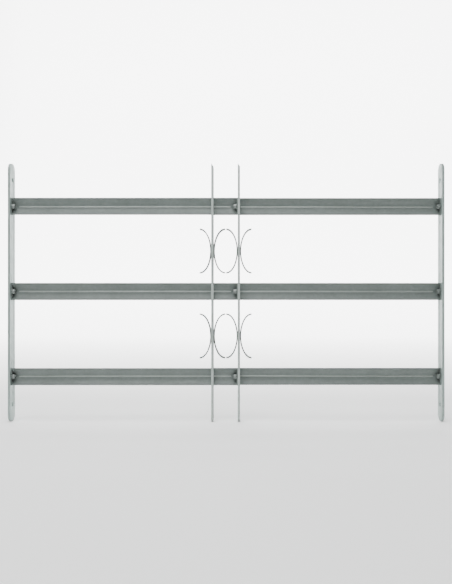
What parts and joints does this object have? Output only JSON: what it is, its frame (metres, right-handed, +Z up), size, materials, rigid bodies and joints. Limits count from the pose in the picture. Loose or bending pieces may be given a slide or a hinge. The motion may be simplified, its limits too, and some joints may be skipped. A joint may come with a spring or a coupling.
{
  "type": "window security grille",
  "caption": "Telescopic window security grille: wall plates, nesting trough crossbars and uprights with half-oval scrolls, pulled out to the width of the window opening.",
  "frame": {"origin": "middle of the pulled-out grille's width and depth, at the foot of the wall plates", "axes": "+X to the right along the crossbars, +Y from the front to the back, +Z up"},
  "size_m": [0.756, 0.025, 0.45],
  "materials": {
    "plate_zinc": "galvanised flat bar, satin",
    "upright_zinc": "galvanised flat bar, satin",
    "trough_zinc": "roll-formed galvanised sheet, satin",
    "scroll_zinc": "galvanised strip, satin",
    "fastener_zinc": "bright zinc plated"
  },
  "bodies": {
    "fixed_frame": {"left_wall_plate": "plate_zinc", "outer_trough_bottom": "trough_zinc", "outer_trough_middle": "trough_zinc", "outer_trough_top": "trough_zinc", "right_upright": "upright_zinc", "right_scroll_lower_outside": "scroll_zinc", "right_scroll_lower_inside": "scroll_zinc", "right_scroll_upper_outside": "scroll_zinc", "right_scroll_upper_inside": "scroll_zinc", "left_plate_bolts": "fastener_zinc", "left_plate_washers": "fastener_zinc", "left_plate_nuts": "fastener_zinc", "upright_bolts": "fastener_zinc", "upright_washers": "fastener_zinc", "upright_nuts": "fastener_zinc"},
    "sliding_frame": {"right_wall_plate": "plate_zinc", "inner_trough_bottom": "trough_zinc", "inner_trough_middle": "trough_zinc", "inner_trough_top": "trough_zinc", "left_upright": "upright_zinc", "left_scroll_lower_outside": "scroll_zinc", "left_scroll_lower_inside": "scroll_zinc", "left_scroll_upper_outside": "scroll_zinc", "left_scroll_upper_inside": "scroll_zinc", "right_plate_bolts": "fastener_zinc", "right_plate_washers": "fastener_zinc", "right_plate_nuts": "fastener_zinc"}
  },
  "joints": [
    {"name": "width_slide", "type": "slide", "parent": "fixed_frame", "child": "sliding_frame", "axis": [1, 0, 0], "range_m": [-0.32, 0]}
  ]
}
